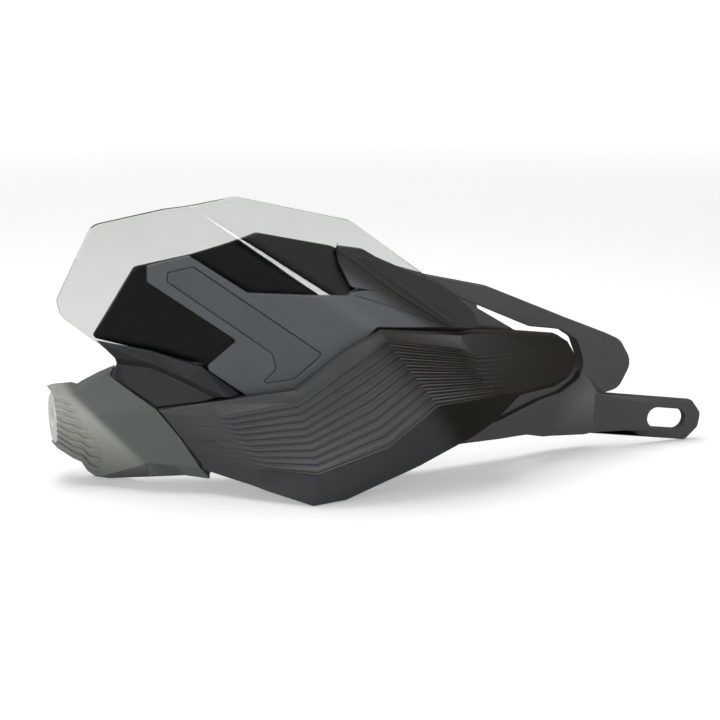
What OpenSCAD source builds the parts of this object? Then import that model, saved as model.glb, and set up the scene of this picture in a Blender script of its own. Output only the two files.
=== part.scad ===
// Motorcycle hand guard, right hand, in millimetres.
// X runs along the grip axis from the bar end inwards, -Y is the front, +Z is up.
// The origin is where the grip axis meets the outer face of the bar end disc.

/* [Walls and clearances] */
// Wall of the ribbed front cover
cover_wall = 2.6; // [2:0.1:3.2]
// Wall of the end cover
end_wall = 2.4; // [2:0.1:3]
// Wall of the spoiler base
base_wall = 2.2; // [1.8:0.1:2.8]
// Thickness of the frame plate
frame_t = 4; // [3:0.25:5]
// Thickness of the flanges round the frame
flange_t = 2.5; // [2:0.25:3.5]
// Depth of the flanges behind the face of the frame
flange_depth = 10; // [7:0.5:13]
// Gap between sheets that lie on each other
sheet_gap = 0.1; // [0.05:0.05:0.2]
// Gap between one moulding and the next
part_gap = 0.5; // [0.3:0.1:0.8]
// Radial clearance of screws in their holes
hole_clear = 0.3; // [0.2:0.1:0.5]
// Radial gap between an insert and its boss
insert_gap = 0.05; // [0.03:0.01:0.1]

/* [Screen and spoiler] */
// Thickness of the clear screen
screen_t = 3; // [2:0.25:4]
// Thickness of the gloss backing panel
backing_t = 2.5; // [2:0.25:3.5]
// Thickness of the matt retainer
retainer_t = 3; // [2.5:0.25:4]
// Extra height of the clip at the inner end of the retainer
clip_step = 1.2; // [0.8:0.1:1.6]
// Depth of the pocket for the inlay
inlay_t = 1; // [0.6:0.1:1.4]
// Gap round the inlay in its pocket
inlay_gap = 0.5; // [0.3:0.1:0.8]
// Radius of the bend between the two faces of the screen
fold_r = 16; // [12:1:24]
// Heading of the bend line, seen from above
fold_yaw = -22; // [-24:0.5:-20]
// Fall of the bend line towards the inner end
fold_pitch = 33; // [31:0.5:35]
// Turn of the outer face behind the bend
fold_outer = 6; // [5:0.5:8]
// Turn of the inner face behind the bend
fold_inner = 32; // [28:0.5:34]

/* [Ribs] */
// Number of chevron ribs on the front cover
cover_ribs = 10; // [8:1:12]
// Height of the chevron ribs
cover_rib_h = 0.9; // [0.5:0.1:1.2]
// Number of ribs on the end cover
end_ribs = 9; // [7:1:11]
// Height of the ribs on the end cover
end_rib_h = 0.9; // [0.5:0.1:1.2]

/* [Bar end] */
// Radius of the bar end disc
disc_r = 12; // [11:0.25:12]
// Thickness of the bar end disc
disc_t = 3; // [2:0.25:4]
// Radius of the insert's shank
shank_r = 8; // [7:0.25:8.5]
// Length of the insert's shank behind the disc
shank_len = 17; // [15:0.5:19]
// Radius of the bore for the bar end bolt
bolt_bore_r = 4.2; // [3.2:0.1:5]
// Outer radius of the frame's boss round the shank
end_boss_r = 11.4; // [10.5:0.1:11.5]
// Length of the frame's boss
end_boss_len = 12; // [10:0.5:13]
// Thickness of the ring that holds the insert in the boss
ring_t = 1.2; // [1:0.1:1.5]

/* [Mounting arm] */
// Width of the arm
arm_w = 20.5; // [19:0.5:22]
// Thickness of the arm
arm_t = 4; // [3:0.25:5]
// Distance of the arm's tip from the origin
arm_tip_x = 319; // [312:1:326]
// Fall of the arm towards its tip, in degrees
arm_fall = 9; // [7:0.5:11]
// Width of the slot
slot_w = 10.5; // [8:0.5:11]
// Length of the slot over its round ends
slot_len = 21; // [18:0.5:23]
// Distance of the slot's centre from the tip
slot_back = 19; // [18:0.5:22]

/* [Fasteners] */
// Radius of the cover screws
cover_screw_r = 2.5; // [2:0.1:2.5]
// Radius of the panel screws and trim screws
small_screw_r = 2; // [1.5:0.1:2]
// Length of the brass inserts
insert_len = 7; // [5:0.5:8]
// Wall of the brass inserts
insert_wall = 1.1; // [0.9:0.1:1.3]
// Wall of the bosses round the inserts
boss_wall = 2; // [1.5:0.1:2.5]
// Height of the screw heads
head_h = 2.6; // [2:0.1:3]
// How far a head is wider than its screw, radially
head_over = 2; // [1.6:0.1:2.2]
// Thickness of the washers
washer_t = 0.8; // [0.5:0.1:1]
// Height of the pads on both sides of the frame
pad_h = 2.6; // [2.4:0.1:3.4]

/* [Hidden] */
eps = 0.01;

// Depth that every cutting tool and outline prism spans, front to back
reach = 140;
back = 60;

// Front face of the arm, and how far it stands in front of the frame's face
arm_y = -40;
arm_step = 0.1;

// Point [x, z] where the arm's axis enters the frame, and the height of the axis at the tip, so that an arm of
// any reach and fall leaves the frame at the same place
arm_root = [243, -8.3628];
arm_axis_z = arm_root.y - (arm_tip_x - arm_root.x) * tan(arm_fall);

// Plan line of the frame's front face, [x, y]
frame_plan = [[3, -10], [12, -12], [24, -15.5], [44, -21], [62, -27], [110, -43], [165, -52], [206, -47],
    [236, -41], [262, arm_y + arm_step], [arm_tip_x + 11, arm_y + arm_step]];

// Outline of the frame seen from the front, [x, z, corner radius]
frame_outline = [[3, -10.5, 1], [20, -13, 4], [60, -14.5, 10], [110, -18, 20], [186, -17, 20],
    [222, -17.5, 4], [232, -20, 3], [262, -22, 8], [265, -1.2, 2], [273, 0.6, 7], [280, 13.5, 9], [273, 25.5, 9], [246, 37, 20], [201, 57, 20],
    [166, 66, 20], [128, 78, 8], [62, 74, 8], [45, 70, 6],
    [38, 38, 6], [28, 20.5, 4], [20, 15.5, 3], [14, 11.5, 2], [3, 10.5, 1]];

// Outline of the opening inside the frame's loop
window_outline = [[180, 56, 3], [222, 36.5, 12], [240, 33, 6], [249, 27, 5], [253.3, 16, 12], [251, 7.5, 6],
    [241, 1.2, 6], [229, -1, 10], [204, -8.5, 3], [186, -6, 6], [172, 12, 8], [170, 44, 6]];

// Outlines of the sheets at the front, [x, z, corner radius]
screen_outline = [[18, 93, 7], [48, 101, 10], [79, 105.5, 5], [130, 93.5, 6], [150, 77.5, 8], [161, 69, 3],
    [166, 54, 3], [132, 54, 3], [101, 25, 3], [84, 20, 3], [64, 29, 3], [27, 32, 4], [4.5, 50, 6],
    [2.5, 57.5, 6]];
backing_outline = [[18, 40.5, 1.5], [36, 74, 3], [60, 80.5, 6], [78, 87, 6], [87, 89.5, 4], [120, 82.5, 4],
    [158, 64, 3], [168, 53, 3], [132, 53, 3], [101.5, 24, 3], [82, 18, 3], [64, 28, 3], [52, 32, 6]];
retainer_outline = [[40, 75.5, 1], [57, 80.5, 1.5], [81, 64, 2], [128, 63, 3], [120.8, 72, 2], [120.8, 84, 1.5],
    [132.5, 82, 3], [138, 78.5, 6], [154, 71, 10], [163, 67.5, 6], [172.5, 60.5, 8], [178.5, 54, 6],
    [181, 47, 2], [134, 49.5, 2], [101.5, 18.5, 3], [82, 15, 2], [64, 28, 2], [77, 41.5, 1.5], [40, 68, 1]];
inlay_outline = [[48, 73, 0.6], [58.5, 76, 0.6], [112, 36.5, 2], [100.5, 24, 1], [86.5, 21.5, 1], [92.5, 29, 1],
    [91, 36, 3], [47.5, 68.5, 1.5]];
clip_outline = [[120.8, 82, 1], [120.8, 84, 1], [132.5, 82, 3], [138, 78.5, 6], [154, 71, 10], [163, 67.5, 6],
    [172.5, 60.5, 8], [178.5, 54, 6], [181, 47, 2], [168, 47.8, 1], [146, 62, 1]];
clip_ridge = [[127.5, 80, 0.6], [131, 79, 0.6], [171, 50, 0.6], [166.5, 50, 0.6]];

// Lowest point of the bend line, where both faces of the screen meet the cover
fold_apex = [133, -73, 49];

// Sections of the front cover from the outer edge to the tongue's tip:
// rim, top of the ribs, foot of the ribs, lower edge, share of a rib's height, depth of the rim
cover_sections = [
    [[42.5, -38, 10], [47, -41, 9], [59.5, -46, -14.5], [60.5, -46, -18], 0, 7],
    [[62, -48, 13.5], [66, -51, 8.5], [82, -64, -14.5], [80, -62, -23], 0, 6],
    [[66, -50, 14], [70, -53, 9], [86, -67, -14.5], [84, -65, -24.5], 1, 5],
    [[99, -64, 20], [99, -67, 16], [104, -82, -14], [103, -78, -30], 1, 4.5],
    [[119.5, -73, 38.5], [120, -76, 34], [136, -86, -3.5], [119, -76, -29.5], 1, 3.6],
    [[134, -81, 49], [135, -82, 45.5], [160, -84, 13], [158, -66, -20.5], 1, 3],
    [[172, -80, 44.5], [171, -81, 38], [187, -79, 13.5], [188, -60, -10.5], 1, 4],
    [[181, -77, 44], [179, -78, 35], [194, -76, 14], [200, -57, -5], 0, 6],
    [[209, -64, 38.5], [208, -66, 33], [208, -67, 11], [209, -64, 8.5], 0, 7],
    [[234, -51, 32.5], [234, -52.5, 28], [233, -53, 11], [233.5, -51, 7.5], 0, 7],
    [[242, -46, 27.5], [242, -47, 24.5], [242, -47.5, 12.5], [242, -46, 9.5], 0, 6],
    [[246, -44, 22], [246, -44.5, 20.5], [246, -44.5, 15.5], [246, -44, 14], 0, 5]
];

// Rows of the end cover from the top down, each from the bar end to the front cover:
// bar end rim, start of the flare, foot of the flare, end of the ribs, and edge at the cover
end_top_back = [[0, 10, 15], [6, 10, 15.5], [10, 8, 16], [13, 4, 16], [18, 0, 20], [27, -8, 27]];
end_top = [[0, -9, 15], [6, -9, 15.5], [10, -9, 15.5], [13, -10, 16.5], [18, -14, 20], [27, -20, 27.5]];
end_rib_top = [[0, -14, 11.5], [4, -15, 12], [6, -16, 12], [7.5, -17, 12.5], [10, -18.5, 14], [24, -26, 23.5]];
end_rib_foot = [[0, -12, -11], [8, -15, -16.5], [11, -16, -17.5], [14, -18, -23], [37.5, -37, -16.5],
    [59.5, -45.3, -17]];
end_bottom = [[0, -9, -13], [8, -10, -19], [11, -10, -20], [15, -10, -27], [25, -14, -29.5], [58, -40, -21]];
end_bottom_back = [[0, 8, -13], [8, 8, -17], [11, 6, -18], [16, 0, -24], [26, -6, -26], [57, -32, -20]];

// Rows of the spoiler base from its lip over the screen down to the covers
base_rows = [
    [[18.5, -21, 40], [41, -32, 36], [62, -41, 29.3], [77.5, -48.8, 16.8]],
    [[26, -25, 32], [41, -34.5, 31], [56, -44, 24], [72, -51, 16.4]],
    [[27, -23.5, 29], [41, -32.5, 28], [55.5, -42, 21], [66, -47.5, 15.8]],
    [[24, -27, 25.5], [31, -31.5, 19.2], [42, -38, 11.2], [61.5, -47, 14.6]]
];

// Places of the fasteners, [x, z]
cover_points = [[70, -4], [104, -4], [150, 28], [150, -6]];
panel_points = [[52, 67], [84, 27], [133, 72], [162, 56]];
trim_points = [[39, 23], [59, 19], [27, 5], [42, -4.5]];

// Plan place of the frame's face at x
function frame_y(x) = lookup(x, frame_plan);

// Corner p between its neighbours a and b, as an arc of radius r
function corner(a, p, b, r, steps = 6) =
    let (
        u = (a - p) / norm(a - p),
        v = (b - p) / norm(b - p),
        half = acos(max(-1, min(1, u * v))) / 2,
        cut = min(r / tan(half), 0.49 * min(norm(a - p), norm(b - p))),
        radius = cut * tan(half),
        centre = p + (u + v) / norm(u + v) * radius / sin(half),
        from = p + u * cut - centre,
        to = p + v * cut - centre,
        start = atan2(from.y, from.x),
        sweep = atan2(from.x * to.y - from.y * to.x, from * to)
    )
    [for (i = [0 : steps]) centre + radius * [cos(start + sweep * i / steps), sin(start + sweep * i / steps)]];

// Closed outline with each corner rounded by its own radius
function rounded(points) =
    let (n = len(points))
    [for (i = [0 : n - 1])
        let (a = points[(i + n - 1) % n], p = points[i], b = points[(i + 1) % n])
        each corner([a.x, a.y], [p.x, p.y], [b.x, b.y], p[2])];

// Turn direction of a closed outline: 1 when it runs anticlockwise
function winding(points) =
    let (n = len(points))
    sign([for (i = [0 : n - 1]) points[i].x * points[(i + 1) % n].y - points[(i + 1) % n].x * points[i].y]
        * [for (i = [0 : n - 1]) 1]);

// Outline moved inwards by d, with its corner radii kept concentric
function inset(points, d) =
    let (n = len(points), w = winding(points))
    [for (i = [0 : n - 1])
        let (
            a = [points[(i + n - 1) % n].x, points[(i + n - 1) % n].y],
            p = [points[i].x, points[i].y],
            b = [points[(i + 1) % n].x, points[(i + 1) % n].y],
            u = (p - a) / norm(p - a),
            v = (b - p) / norm(b - p),
            nu = w * [-u.y, u.x],
            nv = w * [-v.y, v.x],
            move = (nu + nv) / (1 + nu * nv) * d,
            outside = w * (u.x * v.y - u.y * v.x) > 0
        )
        [p.x + move.x, p.y + move.y, outside ? max(points[i][2] - d, 0.5) : points[i][2] + d]];

// Straight bar front to back with the given outline
module prism(points) {
    translate([0, back, 0])
        rotate([90, 0, 0])
            linear_extrude(height = reach + back)
                polygon(rounded(points));
}

// Cylinder along Y from y1 back to y2
module rod(x, z, y1, y2, r) {
    translate([x, y2, z])
        rotate([90, 0, 0])
            cylinder(h = y2 - y1, r = r, $fn = 48);
}

// Centre of the screen's bend in its own cross-section
fold_mid = -90 + (fold_outer - fold_inner) / 2;
fold_centre = -fold_r / cos((fold_outer + fold_inner) / 2) * [cos(fold_mid), sin(fold_mid)];
fold_steps = 8;

// Cross-section line of the bent sheet at a distance behind the screen's front face
function fold_line(offset) =
    let (
        a = -90 + fold_outer,
        b = -90 - fold_inner,
        arc = [for (i = [0 : fold_steps])
            let (t = a + (b - a) * i / fold_steps)
            fold_centre + (fold_r - offset) * [cos(t), sin(t)]]
    )
    [arc[0] + reach * [cos(fold_outer), sin(fold_outer)], each arc,
        arc[fold_steps] + reach * [-cos(fold_inner), sin(fold_inner)]];

// All that lies between two distances behind the screen's front face
module fold_slab(front, rear) {
    line = fold_line(rear);
    translate(fold_apex)
        rotate([0, 90 + fold_pitch, fold_yaw])
            translate([0, 0, -reach * 1.5])
                linear_extrude(height = reach * 2.2)
                    polygon([each fold_line(front), each [for (i = [len(line) - 1 : -1 : 0]) line[i]]]);
}

// Outward direction of a face of the screen, turned by an angle about the bend
function fold_normal(turn) =
    let (p = 90 + fold_pitch, y = fold_yaw)
    sin(turn) * [cos(p) * cos(y), cos(p) * sin(y), -sin(p)] - cos(turn) * [-sin(y), cos(y), 0];

// Place of one face of the screen along Y at [x, z]
function face_y(p, normal, offset) =
    fold_apex.y - (offset + normal.x * (p.x - fold_apex.x) + normal.z * (p.y - fold_apex.z)) / normal.y;

// Place of the bent sheet along Y at [x, z]
function sheet_y(p, offset) =
    max(face_y(p, fold_normal(fold_outer), offset), face_y(p, fold_normal(-fold_inner), offset));

// Closed surface from an outer and an inner grid of points, rows running down, columns to the right
module grid_shell(outer, inner, crossed = []) {
    nr = len(outer);
    nc = len(outer[0]);
    n = nr * nc;
    function quad(a, b, c, d) = [[a, b, c], [a, c, d]];
    function other(a, b, c, d) = [[a, b, d], [b, c, d]];
    front = [for (r = [0 : nr - 2], c = [0 : nc - 2])
        let (a = r * nc + c, b = a + 1, e = a + nc, d = e + 1, swap = len(search(r, crossed)) > 0)
        each (swap ? other(a, b, d, e) : quad(a, b, d, e))];
    rear = [for (r = [0 : nr - 2], c = [0 : nc - 2])
        let (a = n + r * nc + c, b = a + 1, e = a + nc, d = e + 1, swap = len(search(r, crossed)) > 0)
        each (swap ? other(b, a, e, d) : [[a, d, b], [a, e, d]])];
    top = [for (c = [0 : nc - 2]) each quad(c + 1, c, n + c, n + c + 1)];
    bottom = [for (c = [0 : nc - 2])
        let (a = (nr - 1) * nc + c)
        each quad(a, a + 1, n + a + 1, n + a)];
    left = [for (r = [0 : nr - 2])
        let (a = r * nc)
        each quad(a, a + nc, n + a + nc, n + a)];
    right = [for (r = [0 : nr - 2])
        let (a = r * nc + nc - 1)
        each quad(a + nc, a, n + a, n + a + nc)];
    polyhedron(points = [for (row = outer) each row, for (row = inner) each row],
        faces = [each front, each rear, each top, each bottom, each left, each right], convexity = 6);
}

// Point a share t of the way from a to b
function between(a, b, t) = a + (b - a) * t;

// Height profile over one rib: a slope up, a steep front and a flat foot
rib_profile = [[0, 0], [0.18, 1], [0.5, 0.85], [0.72, 0]];

// Rows of the cover below the rim: [share of the ribbed zone, share of a rib's height]
cover_rib_rows = [for (i = [0 : cover_ribs - 1], p = rib_profile) [(i + p[0]) / cover_ribs, p[1]]];
step_h = 1;
edge_depth = 8;

// Outer surface of the cover, with ribs of height h
function cover_row(k) = [for (s = cover_sections) s[k]];
function cover_outer(h) = [
    [for (s = cover_sections) s[0] + [0, s[5], 0.2]],
    [for (s = cover_sections) s[0] + [0, 1.2, 0.4]],
    [for (s = cover_sections) s[0] + [0, 0, -0.6]],
    for (q = cover_rib_rows)
        [for (s = cover_sections) between(s[1], s[2], q[0]) - [0, q[1] * s[4] * h, 0]],
    cover_row(2),
    [for (s = cover_sections) between(s[2], s[3], 0.06) + [0, s[4] * step_h, 0]],
    [for (s = cover_sections) s[3] + [0, 0, 0.4]],
    [for (s = cover_sections) s[3] + [0, 1, 0]],
    [for (s = cover_sections) s[3] + [0, edge_depth, 0.6]]
];

// Inner surface: the smooth outer one moved back and in by the wall
function cover_inner() =
    let (rows = cover_outer(0), nr = len(rows), nc = len(rows[0]))
    [for (r = [0 : nr - 1])
        [for (c = [0 : nc - 1])
            let (
                dz = r < 3 ? -1 : r > nr - 4 ? 1 : 0,
                dy = r == 0 || r == nr - 1 ? 0 : 1,
                dx = c == 0 ? 0 : c == nc - 1 ? -1 : 0
            )
            rows[r][c] + cover_wall * [dx, dy, dz]]];

// Solid behind the middle of the cover's wall, for trimming its bosses
module cover_fill() {
    front = [for (k = [0 : 3]) [for (s = cover_sections) s[k] + [0, cover_wall / 2, 0]]];
    rear = [for (row = front) [for (p = row) [p.x, back / 3, p.z]]];
    grid_shell(front, rear, [2]);
}

// Radii and seats of an insert, its boss and its screw
function insert_r(r) = r + hole_clear / 3 + insert_wall;
function boss_r(r) = insert_r(r) + insert_gap + boss_wall;
function head_r(r) = r + head_over;

// Front pad of the frame at a fastener: the face that a boss stands on
function pad_front(p) = frame_y(p.x) - pad_h;
// Rear pad of the frame: the face under a washer or a head
function pad_rear(p) = frame_y(p.x) + frame_t + pad_h;

// Boss that stands on the frame at p and reaches forward into a cover
module standing_boss(p, r, length) {
    rod(p.x, p.y, pad_front(p) - length, pad_front(p) - sheet_gap, boss_r(r));
}

// Blind hole for an insert and the screw's tip
module insert_hole(p, r) {
    rod(p.x, p.y, pad_front(p) - sheet_gap - insert_len - 0.5, pad_front(p), insert_r(r) + insert_gap);
}

// Tube along Y
module tube(x, z, y1, y2, r, bore) {
    difference() {
        rod(x, z, y1, y2, r);
        rod(x, z, y1 - 1, y2 + 1, bore);
    }
}

// Button head screw along Y, its head's seat at y and its tip at tip
module screw(x, z, tip, y, r) {
    difference() {
        union() {
            rod(x, z, tip, y + eps, r);
            translate([x, y, z])
                rotate([-90, 0, 0])
                    rotate_extrude($fn = 48)
                        polygon([[0, 0], [head_r(r), 0], [head_r(r), head_h * 0.35],
                            [head_r(r) * 0.82, head_h * 0.8], [head_r(r) * 0.55, head_h], [0, head_h]]);
        }
        translate([x, y + head_h + 1, z])
            rotate([90, 0, 0])
                cylinder(h = head_h * 0.6 + 1, r = r * 0.75, $fn = 6);
    }
}

// Arm outline in its own flat frame: x from the tip inwards, y across
arm_chamfer = 6;
arm_overlap = 2;
arm_len = arm_tip_x - arm_root.x + arm_overlap;
module arm_blank() {
    difference() {
        translate([arm_tip_x, arm_y + arm_t, arm_axis_z])
            rotate([90, 0, 0])
                rotate(-arm_fall)
                    linear_extrude(height = arm_t)
                        polygon(rounded([[-arm_len, -arm_w / 2, 3], [-arm_chamfer, -arm_w / 2, 2],
                            [0, -arm_w / 2 + arm_chamfer * 1.2, 4], [0, arm_w / 2 - arm_chamfer, 4],
                            [-arm_chamfer, arm_w / 2, 2], [-arm_len, arm_w / 2, 3]]));
        arm_slot();
    }
}

// Slot with round ends, cut along Y
module arm_slot() {
    slot_r = slot_w / 2;
    half = slot_len / 2 - slot_r;
    translate([arm_tip_x, arm_y + arm_t + 1, arm_axis_z])
        rotate([90, 0, 0])
            rotate(-arm_fall)
                translate([-slot_back, 0, 0]) {
                    translate([-half, -slot_r, 0])
                        cube([2 * half, slot_w, arm_t + 2]);
                    translate([-half, 0, 0])
                        cylinder(h = arm_t + 2, r = slot_r, $fn = 48);
                    translate([half, 0, 0])
                        cylinder(h = arm_t + 2, r = slot_r, $fn = 48);
                }
}

// Slab that follows the plan line of the frame
module plan_slab(front, rear) {
    n = len(frame_plan);
    translate([0, 0, -reach / 2])
        linear_extrude(height = reach * 1.2)
            polygon([
                for (p = frame_plan) [p.x, p.y + front],
                for (i = [n - 1 : -1 : 0]) [frame_plan[i].x, frame_plan[i].y + rear]
            ]);
}

// Clearance of the shank in the frame's boss, and the ring's outer radius
shank_clear = 0.2;
ring_r = shank_r + 1.4;

module inner_frame() {
    color([0.2, 0.19, 0.19])
        difference() {
            union() {
                intersection() {
                    plan_slab(0, frame_t);
                    difference() {
                        prism(frame_outline);
                        prism(window_outline);
                    }
                }
                intersection() {
                    plan_slab(eps, flange_depth);
                    difference() {
                        prism(frame_outline);
                        prism(inset(frame_outline, flange_t));
                    }
                }
                intersection() {
                    plan_slab(eps, flange_depth);
                    difference() {
                        prism(inset(window_outline, -flange_t));
                        prism(window_outline);
                    }
                }
                arm_blank();
                translate([disc_t + sheet_gap, 0, 0])
                    rotate([0, 90, 0])
                        cylinder(h = end_boss_len, r = end_boss_r, $fn = 64);
                for (p = cover_points)
                    rod(p.x, p.y, pad_front(p), pad_rear(p), boss_r(cover_screw_r));
                for (p = trim_points)
                    rod(p.x, p.y, pad_front(p), pad_rear(p), boss_r(small_screw_r));
                for (p = panel_points)
                    intersection() {
                        rod(p.x, p.y, -reach, pad_rear(p), post_r);
                        fold_slab(panel_back, 60);
                    }
            }
            arm_slot();
            translate([-1, 0, 0])
                rotate([0, 90, 0])
                    cylinder(h = end_boss_len + disc_t + 3, r = shank_r + shank_clear, $fn = 64);
            translate([disc_t + sheet_gap + end_boss_len, 0, 0])
                rotate([0, 90, 0])
                    cylinder(h = shank_len, r = ring_r + part_gap, $fn = 64);
            for (p = cover_points)
                rod(p.x, p.y, -reach, back, cover_screw_r + hole_clear);
            for (p = trim_points)
                rod(p.x, p.y, -reach, back, small_screw_r + hole_clear);
            for (p = panel_points) {
                rod(p.x, p.y, -reach, back, small_screw_r + hole_clear);
                rod(p.x, p.y, panel_seat(p), back, post_bore);
            }
        }
}

// Panel screws: posts of the frame carry the sheets, and the screws sit deep in them
panel_back = screen_t + backing_t + 2 * sheet_gap;
post_bore = head_r(small_screw_r) + 0.7;
post_r = post_bore + 1.6;
post_floor = 3.4;
function panel_seat(p) = sheet_y(p, panel_back) + post_floor;
stud_r = boss_r(small_screw_r) - 0.6;
grommet_t = 1;

// Holes of the sheets round the retainer's studs
module stud_holes(r) {
    for (p = panel_points)
        rod(p.x, p.y, -reach, back, r);
}

module screen() {
    color([0.84, 0.86, 0.85, 0.45])
        difference() {
            intersection() {
                fold_slab(0, screen_t);
                prism(screen_outline);
            }
            stud_holes(stud_r + grommet_t + 0.1);
        }
}

module backing_panel() {
    color([0.1, 0.1, 0.1])
        difference() {
            intersection() {
                fold_slab(screen_t + sheet_gap, screen_t + sheet_gap + backing_t);
                prism(backing_outline);
            }
            stud_holes(stud_r + 0.3);
        }
}

module retainer() {
    color([0.36, 0.38, 0.39])
        difference() {
            union() {
                intersection() {
                    fold_slab(-retainer_t, -sheet_gap);
                    prism(retainer_outline);
                }
                intersection() {
                    fold_slab(-retainer_t - clip_step, -retainer_t + eps);
                    prism(clip_outline);
                }
                intersection() {
                    fold_slab(-retainer_t - clip_step * 1.6, -retainer_t - clip_step + eps);
                    prism(clip_ridge);
                }
                for (p = panel_points)
                    intersection() {
                        rod(p.x, p.y, -reach, back, stud_r);
                        fold_slab(-retainer_t + 1, panel_back - sheet_gap);
                    }
            }
            intersection() {
                fold_slab(-retainer_t - 2, -retainer_t + inlay_t);
                prism(inlay_outline);
            }
            for (p = panel_points)
                rod(p.x, p.y, panel_insert_tip(p) - 0.5, back, insert_r(small_screw_r) + insert_gap);
        }
}

// Panel inserts sit in the studs, ending level with the back of the backing panel
panel_insert_len = 5;
fold_slopes = [for (n = [fold_normal(fold_outer), fold_normal(-fold_inner)]) norm([n.x, n.z]) / -n.y];
function panel_insert_rear(p) = sheet_y(p, panel_back) - insert_r(small_screw_r) * max(fold_slopes) - 0.2;
function panel_insert_tip(p) = panel_insert_rear(p) - panel_insert_len;

module retainer_inlay() {
    color([0.3, 0.31, 0.32])
        intersection() {
            fold_slab(-retainer_t + 0.15, -retainer_t + inlay_t - sheet_gap);
            prism(inset(inlay_outline, inlay_gap));
        }
}

module screen_grommets() {
    color([0.06, 0.06, 0.06])
        intersection() {
            fold_slab(sheet_gap / 2, screen_t - sheet_gap / 2);
            union()
                for (p = panel_points)
                    tube(p.x, p.y, -reach, back, stud_r + grommet_t, stud_r + 0.1);
        }
}

module front_cover() {
    color([0.24, 0.25, 0.25])
        difference() {
            union() {
                grid_shell(cover_outer(cover_rib_h), cover_inner(), [len(cover_rib_rows) + 4]);
                intersection() {
                    cover_fill();
                    union()
                        for (p = cover_points)
                            standing_boss(p, cover_screw_r, 60);
                }
            }
            for (p = cover_points)
                insert_hole(p, cover_screw_r);
        }
}

// Rows of the end cover, with ribs of height h
end_rib_rows = [for (i = [0 : end_ribs - 1], p = rib_profile) [(i + p[0]) / end_ribs, p[1]]];
end_relief = [1, 1, 1, 1, 0, 0];
function end_outer(h) = [
    end_top_back,
    end_top,
    for (q = end_rib_rows)
        [for (c = [0 : 5]) between(end_rib_top[c], end_rib_foot[c], q[0]) - [0, q[1] * end_relief[c] * h, 0]],
    end_rib_foot,
    end_bottom,
    end_bottom_back
];
function end_inner() =
    let (rows = end_outer(0), nr = len(rows))
    [for (r = [0 : nr - 1])
        let (move = r == 0 ? [0, 0, -1] : r == 1 ? [0, 0.6, -0.9] : r == 2 ? [0, 1, -0.4]
            : r == nr - 1 ? [0, 0, 1] : r == nr - 2 ? [0, 0.6, 0.9] : [0, 1, 0])
        [for (p = rows[r]) p + end_wall * move]];

module end_cover() {
    color([0.37, 0.39, 0.37])
        difference() {
            union() {
                grid_shell(end_outer(end_rib_h), end_inner());
                intersection() {
                    end_fill();
                    union()
                        for (i = [2, 3])
                            standing_boss(trim_points[i], small_screw_r, 30);
                }
            }
            for (i = [2, 3])
                insert_hole(trim_points[i], small_screw_r);
            translate([-1, 0, 0])
                rotate([0, 90, 0])
                    cylinder(h = disc_t + 1 + part_gap, r = disc_r + part_gap, $fn = 64);
        }
}

module end_fill() {
    rows = end_outer(0);
    front = [for (r = [2 : len(rows) - 3]) [for (p = rows[r]) p + [0, end_wall / 2, 0]]];
    rear = [for (row = front) [for (p = row) [p.x, back / 3, p.z]]];
    grid_shell(front, rear);
}

module spoiler_base() {
    inner = [for (r = [0 : len(base_rows) - 1])
        [for (p = base_rows[r]) p + [0, base_wall, 0]]];
    color([0.16, 0.17, 0.18])
        difference() {
            union() {
                grid_shell(base_rows, inner);
                intersection() {
                    base_fill();
                    union()
                        for (i = [0, 1])
                            standing_boss(trim_points[i], small_screw_r, 40);
                }
            }
            for (i = [0, 1])
                insert_hole(trim_points[i], small_screw_r);
        }
}

module base_fill() {
    front = [for (r = [1 : 3]) [for (p = base_rows[r]) p + [0, base_wall / 2, 0]]];
    rear = [for (row = front) [for (p = row) [p.x, back / 3, p.z]]];
    grid_shell(front, rear);
}

module bar_end_insert() {
    groove_x = disc_t + sheet_gap + end_boss_len + 0.1;
    color([0.88, 0.89, 0.89])
        rotate([0, 90, 0])
            rotate_extrude($fn = 96)
                polygon([[bolt_bore_r, 0], [disc_r - 0.8, 0], [disc_r, 0.8], [disc_r, disc_t],
                    [shank_r, disc_t], [shank_r, groove_x], [shank_r - 0.8, groove_x],
                    [shank_r - 0.8, groove_x + ring_t], [shank_r, groove_x + ring_t],
                    [shank_r, disc_t + shank_len - 1], [shank_r - 1, disc_t + shank_len],
                    [bolt_bore_r, disc_t + shank_len]]);
}

module retaining_ring() {
    groove_x = disc_t + sheet_gap + end_boss_len + 0.15;
    color([0.5, 0.5, 0.5])
        translate([groove_x, 0, 0])
            rotate([0, 90, 0])
                difference() {
                    cylinder(h = ring_t - 0.1, r = ring_r, $fn = 64);
                    translate([0, 0, -1])
                        cylinder(h = ring_t + 2, r = shank_r - 0.75, $fn = 64);
                    translate([0, -1.5, -1])
                        cube([shank_r + 4, 3, ring_t + 2]);
                }
}

module cover_screws() {
    color([0.12, 0.12, 0.12])
        for (p = cover_points)
            screw(p.x, p.y, pad_front(p) - insert_len, pad_rear(p) + washer_t + 0.1, cover_screw_r);
}

module cover_washers() {
    color([0.6, 0.6, 0.6])
        for (p = cover_points)
            tube(p.x, p.y, pad_rear(p) + 0.05, pad_rear(p) + 0.05 + washer_t, head_r(cover_screw_r) - 0.2,
                cover_screw_r + hole_clear);
}

module cover_inserts() {
    color([0.75, 0.6, 0.3])
        for (p = cover_points)
            tube(p.x, p.y, pad_front(p) - sheet_gap - insert_len, pad_front(p) - sheet_gap,
                insert_r(cover_screw_r), cover_screw_r + hole_clear / 3);
}

module panel_screws() {
    color([0.12, 0.12, 0.12])
        for (p = panel_points)
            screw(p.x, p.y, panel_insert_tip(p) + 0.5, panel_seat(p) + washer_t + 0.1, small_screw_r);
}

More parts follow.
